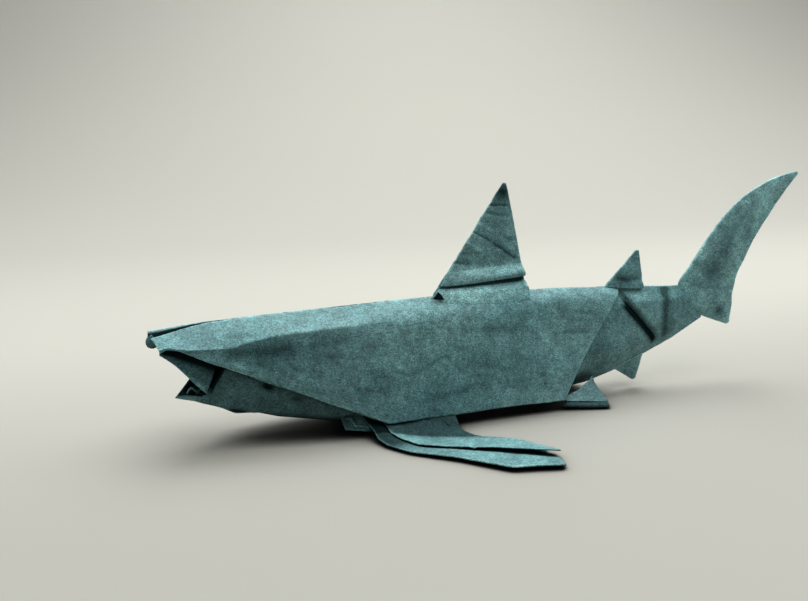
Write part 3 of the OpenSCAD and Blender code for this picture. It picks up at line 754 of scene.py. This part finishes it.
def knot(side):
    """Crumpled folds ahead of the root of the front fin, dark with painted shade."""
    sets = [
        [[[33.6, 4.4, 4.0], [33.7, 5.6, 2.4], [34.2, 6.3, 1.3]],
         [[35.4, 5.0, 4.3], [35.6, 6.6, 2.9], [35.9, 6.7, 1.2]],
         [[37.2, 5.6, 4.3], [37.4, 7.0, 2.6], [37.6, 7.4, 1.0]],
         [[39.0, 6.0, 4.0], [39.0, 7.2, 2.4], [39.4, 7.4, 0.8]]],
        [[[34.0, 4.6, 3.2], [35.0, 6.4, 3.6]], [[34.2, 5.6, 1.6], [36.2, 7.4, 2.1]],
         [[36.4, 5.8, 0.9], [38.6, 7.6, 1.5]]],
        [[[35.6, 4.2, 3.4], [38.6, 6.0, 3.9]], [[34.8, 5.2, 1.1], [38.2, 6.9, 1.9]],
         [[36.0, 5.0, 0.6], [39.8, 7.0, 0.6]]],
    ]
    for i, rows in enumerate(sets):
        panel(rows, FOLD, 0.18, 0.12, 2.2, 3.0 * i + 1, side=side, wear=0.45, shade=even(-0.6))


# Meshes and paper
def build(name, sheets, mat):
    """One mesh of closed thin sheets with a tone at each corner: worn rims, painted highlight and
    painted shade, plus each face's own share.
    """
    verts, faces, tone = [], [], []
    base = 0
    for g, n, t, w, both in sheets:
        a, b = g.shape[:2]
        top = (g + n * t / 2).reshape(-1, 3)
        bot = (g - n * t / 2).reshape(-1, 3)
        idx = np.arange(a * b).reshape(a, b)
        q = np.stack([idx[:-1, :-1], idx[1:, :-1], idx[1:, 1:], idx[:-1, 1:]], -1).reshape(-1, 4)
        h = a * b
        loop = np.concatenate([idx[0, :], idx[1:, -1], idx[-1, -2::-1], idx[-2:0:-1, 0]])
        nxt = np.roll(loop, -1)
        wall = np.stack([loop, nxt, nxt + h, loop + h], -1)
        faces.append(np.concatenate([q, q[:, ::-1] + h, wall[:, ::-1]]) + base)
        verts.append(np.concatenate([top, bot]))
        tone.append(np.concatenate([w.reshape(-1) + both[0], w.reshape(-1) + both[1]]))
        base += 2 * h
    v = np.concatenate(verts)
    v = np.stack([v[:, 0] - LENGTH / 2, v[:, 1], np.maximum(v[:, 2], 0.0)], -1) / 1000
    f = np.concatenate(faces)
    me = bpy.data.meshes.new(name)
    me.from_pydata(v.tolist(), [], f.tolist())
    att = me.attributes.new("tone", "FLOAT", "POINT")
    att.data.foreach_set("value", np.clip(np.concatenate(tone), -1, 1).astype(np.float32))
    me.polygons.foreach_set("use_smooth", [True] * len(me.polygons))
    me.update()
    ob = bpy.data.objects.new(name, me)
    bpy.context.scene.collection.objects.link(ob)
    me.materials.append(mat)
    bpy.context.view_layer.objects.active = ob
    ob.select_set(True)
    bpy.ops.object.mode_set(mode="EDIT")
    bpy.ops.mesh.select_all(action="SELECT")
    bpy.ops.mesh.normals_make_consistent(inside=False)
    bpy.ops.object.mode_set(mode="OBJECT")
    bpy.ops.object.shade_auto_smooth(angle=math.radians(50))
    ob.select_set(False)
    return ob


# paper colours as shares of red, green and blue; those above 1 brighten what they multiply
PAPER_DARK = (0.053, 0.140, 0.150)
PAPER_LIGHT = (0.172, 0.356, 0.374)
SPECK = (0.27, 0.42, 0.43)
BLOTCH_DARK = (0.74, 0.82, 0.83)
BLOTCH_LIGHT = (1.14, 1.10, 1.08)
# worn rims and painted highlight: what a positive tone brightens the paper by
WEAR_AND_HIGHLIGHT = (2.35, 2.15, 2.1)
# painted shade: the colour a negative tone turns the paper towards, in creases, recesses, inner layers
# and under the fins
PAINTED_SHADE = (0.004, 0.0095, 0.0105)


def paper():
    """Teal paper: fibres, grain and mottling, lighter at worn rims and painted highlights and darker
    with painted shade, as the sheet's tone says.
    """
    mat = bpy.data.materials.new("teal_paper")
    mat.use_nodes = True
    tree = mat.node_tree
    nodes = tree.nodes
    links = tree.links
    bsdf = nodes["Principled BSDF"]

    def node(kind, **kw):
        n = nodes.new(kind)
        for k, v in kw.items():
            if k in n.inputs:
                n.inputs[k].default_value = v
            else:
                setattr(n, k, v)
        return n

    def tex(scale, detail, rough, src=None, distortion=0.0):
        n = node("ShaderNodeTexNoise", Scale=scale, Detail=detail, Roughness=rough,
                 Distortion=distortion)
        links.new(src or coords.outputs["Object"], n.inputs["Vector"])
        return n

    def ramp(src, stops):
        r = node("ShaderNodeValToRGB")
        e = r.color_ramp.elements
        while len(e) < len(stops):
            e.new(0.5)
        for el, (p, c) in zip(e, stops):
            el.position = p
            el.color = (c, c, c, 1) if isinstance(c, (int, float)) else (*c, 1)
        links.new(src, r.inputs["Fac"])
        return r.outputs["Color"]

    def blend(kind, a, b, fac):
        m = node("ShaderNodeMix", data_type="RGBA", blend_type=kind)
        for sock, v in ((0, fac), (6, a), (7, b)):
            if isinstance(v, (int, float)):
                m.inputs[sock].default_value = v
            elif isinstance(v, tuple):
                m.inputs[sock].default_value = (*v, 1)
            else:
                links.new(v, m.inputs[sock])
        return m.outputs[2]

    coords = node("ShaderNodeTexCoord")
    # short fibres: noise drawn out along two directions
    fibres = []
    for turn in (0.5, -0.9):
        turned = node("ShaderNodeMapping")
        turned.inputs["Rotation"].default_value = (0.3, turn, turn * 0.5)
        turned.inputs["Scale"].default_value = (1700, 5200, 5200)
        links.new(coords.outputs["Object"], turned.inputs["Vector"])
        fibres.append(tex(1.0, 2.0, 0.6, turned.outputs["Vector"]).outputs["Fac"])
    grain = tex(3600, 2.0, 0.6)
    speck = tex(6000, 1.0, 0.5)
    cloud = tex(260, 4.0, 0.6)
    mottle = tex(900, 3.0, 0.6, distortion=0.5)
    big = tex(60, 3.0, 0.5)

    base = blend("MIX", PAPER_DARK, PAPER_LIGHT, ramp(grain.outputs["Fac"], [(0.34, 0.0), (0.66, 1.0)]))
    base = blend("MULTIPLY", base, ramp(fibres[0], [(0.36, 0.66), (0.6, 1.14)]), 0.7)
    base = blend("MULTIPLY", base, ramp(fibres[1], [(0.36, 0.7), (0.6, 1.12)]), 0.6)
    base = blend("MIX", base, SPECK, ramp(speck.outputs["Fac"], [(0.6, 0.0), (0.72, 0.5)]))
    base = blend("MULTIPLY", base, ramp(mottle.outputs["Fac"], [(0.34, 0.74), (0.64, 1.22)]), 0.8)
    base = blend("MULTIPLY", base, ramp(cloud.outputs["Fac"], [(0.34, 0.76), (0.66, 1.2)]), 0.85)
    blotches = ramp(big.outputs["Fac"], [(0.34, BLOTCH_DARK), (0.66, BLOTCH_LIGHT)])
    base = blend("MULTIPLY", base, blotches, 0.9)
    tone = node("ShaderNodeAttribute", attribute_name="tone")
    # a positive tone brightens worn rims and painted highlights, more in cloudy patches
    wear_and_highlight = node("ShaderNodeMath", operation="MULTIPLY", use_clamp=True)
    links.new(tone.outputs["Fac"], wear_and_highlight.inputs[0])
    links.new(ramp(cloud.outputs["Fac"], [(0.35, 0.6), (0.62, 1.0)]), wear_and_highlight.inputs[1])
    base = blend("MULTIPLY", base, WEAR_AND_HIGHLIGHT, wear_and_highlight.outputs[0])
    # a negative tone mixes in painted shade
    dark = node("ShaderNodeMath", operation="MULTIPLY", use_clamp=True)
    links.new(tone.outputs["Fac"], dark.inputs[0])
    dark.inputs[1].default_value = -1.0
    base = blend("MIX", base, PAINTED_SHADE, ramp(dark.outputs[0], [(0.0, 0.0), (0.8, 0.72), (1.0, 1.0)]))
    # painted shade darkens the colour in narrow creases and gaps
    painted_crease_shade = node("ShaderNodeAmbientOcclusion", samples=6, Distance=0.001)
    base = blend("MULTIPLY", base, ramp(painted_crease_shade.outputs["AO"], [(0.15, 0.15), (0.7, 1.0)]), 0.75)
    links.new(base, bsdf.inputs["Base Color"])

    gloss = node("ShaderNodeMapRange")
    gloss.inputs["To Min"].default_value = 0.22
    gloss.inputs["To Max"].default_value = 0.0
    links.new(dark.outputs[0], gloss.inputs["Value"])
    links.new(gloss.outputs["Result"], bsdf.inputs["Specular IOR Level"])
    rough = ramp(grain.outputs["Fac"], [(0.3, 0.55), (0.7, 0.75)])
    links.new(rough, bsdf.inputs["Roughness"])

    grain_bump = node("ShaderNodeBump", Strength=0.6, Distance=0.00005)
    links.new(grain.outputs["Fac"], grain_bump.inputs["Height"])
    fibre_bump = node("ShaderNodeBump", Strength=0.5, Distance=0.00004)
    links.new(fibres[0], fibre_bump.inputs["Height"])
    links.new(grain_bump.outputs["Normal"], fibre_bump.inputs["Normal"])
    buckle_bump = node("ShaderNodeBump", Strength=0.4, Distance=0.0003)
    links.new(tex(520, 5.0, 0.6, distortion=0.6).outputs["Fac"], buckle_bump.inputs["Height"])
    links.new(fibre_bump.outputs["Normal"], buckle_bump.inputs["Normal"])
    links.new(buckle_bump.outputs["Normal"], bsdf.inputs["Normal"])
    return mat


NEAR = -1
FAR = 1
PIECES = {
    "near_flank": ((outer,), (NEAR,)),
    "far_flank": ((outer, nose), (FAR,)),
    "belly_and_stem": ((keel,), (NEAR, FAR)),
    "mouth_folds": ((lips, palate, curl), (NEAR, FAR)),
    "back_fins": ((dorsal, second), (NEAR, FAR)),
    "tail_fins": ((tail, anal), (NEAR, FAR)),
    "paired_fins": ((pectoral, pelvic, knot), (NEAR, FAR)),
}
PAPER = paper()
for name, (makers, sides) in PIECES.items():
    SHEETS.clear()
    for make in makers:
        for side in sides:
            make(side)
    piece = build(name, SHEETS, PAPER)
    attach(piece, "root")
    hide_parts("folded_shark")
    print(name, sum(len(f.vertices) - 2 for f in piece.data.polygons), "triangles")


# Floor, light and camera
# the camera turns and rises in degrees; the place it looks at and its reach are in metres
SENSOR = 36
FOCAL_PIXELS = 750
PICTURE_WIDTH = 808
TURN = -20
RISE = 12
LOOK_AT = (-0.0256, 0, 0.0245)
REACH = 0.150
SKY = (0.93, 0.96, 1.0, 1)
SKY_STRENGTH = 0.09
FLOOR_FRONT = (0.287, 0.289, 0.263, 1)
# each step of the card's colour, which paints light across it: axis, start and end in metres, and the
# colour it ends in
FLOOR_STEPS = (
    ("Y", -0.04, 0.09, (0.37, 0.372, 0.34, 1)),
    ("Y", 0.1, 0.3, (0.318, 0.32, 0.292, 1)),
    ("Z", 0.0, 0.1, (0.33, 0.332, 0.302, 1)),
    ("Z", 0.08, 0.26, (0.355, 0.352, 0.325, 1)),
)


def pale_sweep():
    """Matt pale card, a little lighter where it rises behind the shark, with painted light in its colour
    and a painted contact shadow under the shark.
    """
    mat = bpy.data.materials.new("pale_sweep")
    mat.use_nodes = True
    nodes = mat.node_tree.nodes
    links = mat.node_tree.links
    bsdf = nodes["Principled BSDF"]
    bsdf.inputs["Roughness"].default_value = 0.8
    bsdf.inputs["Specular IOR Level"].default_value = 0.2
    place = nodes.new("ShaderNodeTexCoord")
    parts = nodes.new("ShaderNodeSeparateXYZ")
    links.new(place.outputs["Object"], parts.inputs[0])

    def span(out, low, high):
        """0 at one end of a stretch and 1 at its other end."""
        reach = nodes.new("ShaderNodeMapRange")
        reach.interpolation_type = "SMOOTHSTEP"
        reach.inputs["From Min"].default_value = low
        reach.inputs["From Max"].default_value = high
        links.new(parts.outputs[out], reach.inputs["Value"])
        return reach.outputs["Result"]

    tint = None
    for axis, low, high, colour in FLOOR_STEPS:
        mixed = nodes.new("ShaderNodeMix")
        mixed.data_type = "RGBA"
        mixed.inputs[6].default_value = FLOOR_FRONT
        mixed.inputs[7].default_value = colour
        links.new(span(axis, low, high), mixed.inputs[0])
        if tint is not None:
            links.new(tint.outputs[2], mixed.inputs[6])
        tint = mixed
    # painted contact shadow: the floor darkens where the shark is close above it
    painted_contact_shadow = nodes.new("ShaderNodeAmbientOcclusion")
    painted_contact_shadow.samples = 8
    painted_contact_shadow.inputs["Distance"].default_value = 0.007
    near = nodes.new("ShaderNodeMapRange")
    near.inputs["From Min"].default_value = 0.58
    near.inputs["From Max"].default_value = 0.95
    near.inputs["To Min"].default_value = 0.03
    links.new(painted_contact_shadow.outputs["AO"], near.inputs["Value"])
    shade = nodes.new("ShaderNodeMix")
    shade.data_type = "RGBA"
    shade.blend_type = "MULTIPLY"
    shade.inputs[0].default_value = 1.0
    links.new(tint.outputs[2], shade.inputs[6])
    links.new(near.outputs["Result"], shade.inputs[7])
    links.new(shade.outputs[2], bsdf.inputs["Base Color"])
    return mat


def sweep():
    """Floor that curves up into a backdrop behind the shark."""
    front = -1.2
    bend = 0.3
    radius = 0.9
    top = 2.0
    half_width = 2.4
    parts = 24
    profile = [(front, 0.0), (0.0, 0.0), (bend, 0.0)]
    for i in range(1, parts + 1):
        angle = i / parts * math.pi / 2
        profile.append((bend + radius * math.sin(angle), radius - radius * math.cos(angle)))
    profile.append((bend + radius, top))
    turn = Matrix.Rotation(math.radians(TURN), 3, "Z")
    verts = []
    for y, z in profile:
        for x in (-half_width, half_width):
            verts.append(tuple(turn @ Vector((x, y, z))))
    faces = [(2 * i, 2 * i + 1, 2 * i + 3, 2 * i + 2) for i in range(len(profile) - 1)]
    me = bpy.data.meshes.new("sweep")
    me.from_pydata(verts, [], faces)
    me.polygons.foreach_set("use_smooth", [True] * len(me.polygons))
    me.update()
    ob = bpy.data.objects.new("sweep", me)
    bpy.context.scene.collection.objects.link(ob)
    me.materials.append(pale_sweep())
    return ob


floor = sweep()


def area(name, place, target, size, power, color):
    """A square soft light at a place, turned to its target (metres, watts)."""
    d = bpy.data.lights.new(name, "AREA")
    d.energy = power
    d.color = color
    d.shape = "SQUARE"
    d.size = size
    ob = bpy.data.objects.new(name, d)
    ob.location = place
    ob.rotation_euler = (Vector(target) - Vector(place)).to_track_quat("-Z", "Y").to_euler()
    bpy.context.scene.collection.objects.link(ob)


area("overhead", (0.14, 0.1, 0.74), (0.0, 0.0, 0.0), 1.1, 16.2, (1.0, 0.99, 0.97))
area("front_fill", (-0.35, -0.75, 1.1), (0, 0, 0.02), 1.0, 1.0, (0.97, 0.99, 1.0))
area("backdrop", (0.12, 0.55, 1.2), (0.2, 1.0, 0.3), 0.8, 7.6, (1.0, 0.99, 0.97))

world = bpy.data.worlds.new("soft")
bpy.context.scene.world = world
world.use_nodes = True
bg = world.node_tree.nodes["Background"]
bg.inputs["Color"].default_value = SKY
bg.inputs["Strength"].default_value = SKY_STRENGTH

cam = bpy.data.objects.new("camera", bpy.data.cameras.new("camera"))
cam.data.sensor_fit = "HORIZONTAL"
cam.data.sensor_width = SENSOR
cam.data.lens = SENSOR * FOCAL_PIXELS / PICTURE_WIDTH
cam.data.clip_start = 0.01
az = math.radians(TURN)
el = math.radians(RISE)
away = Vector((math.sin(az) * math.cos(el), -math.cos(az) * math.cos(el), math.sin(el)))
cam.location = Vector(LOOK_AT) + away * REACH
cam.rotation_euler = away.to_track_quat("Z", "Y").to_euler()
bpy.context.scene.collection.objects.link(cam)
bpy.context.scene.camera = cam
bpy.context.scene.view_settings.view_transform = "Standard"
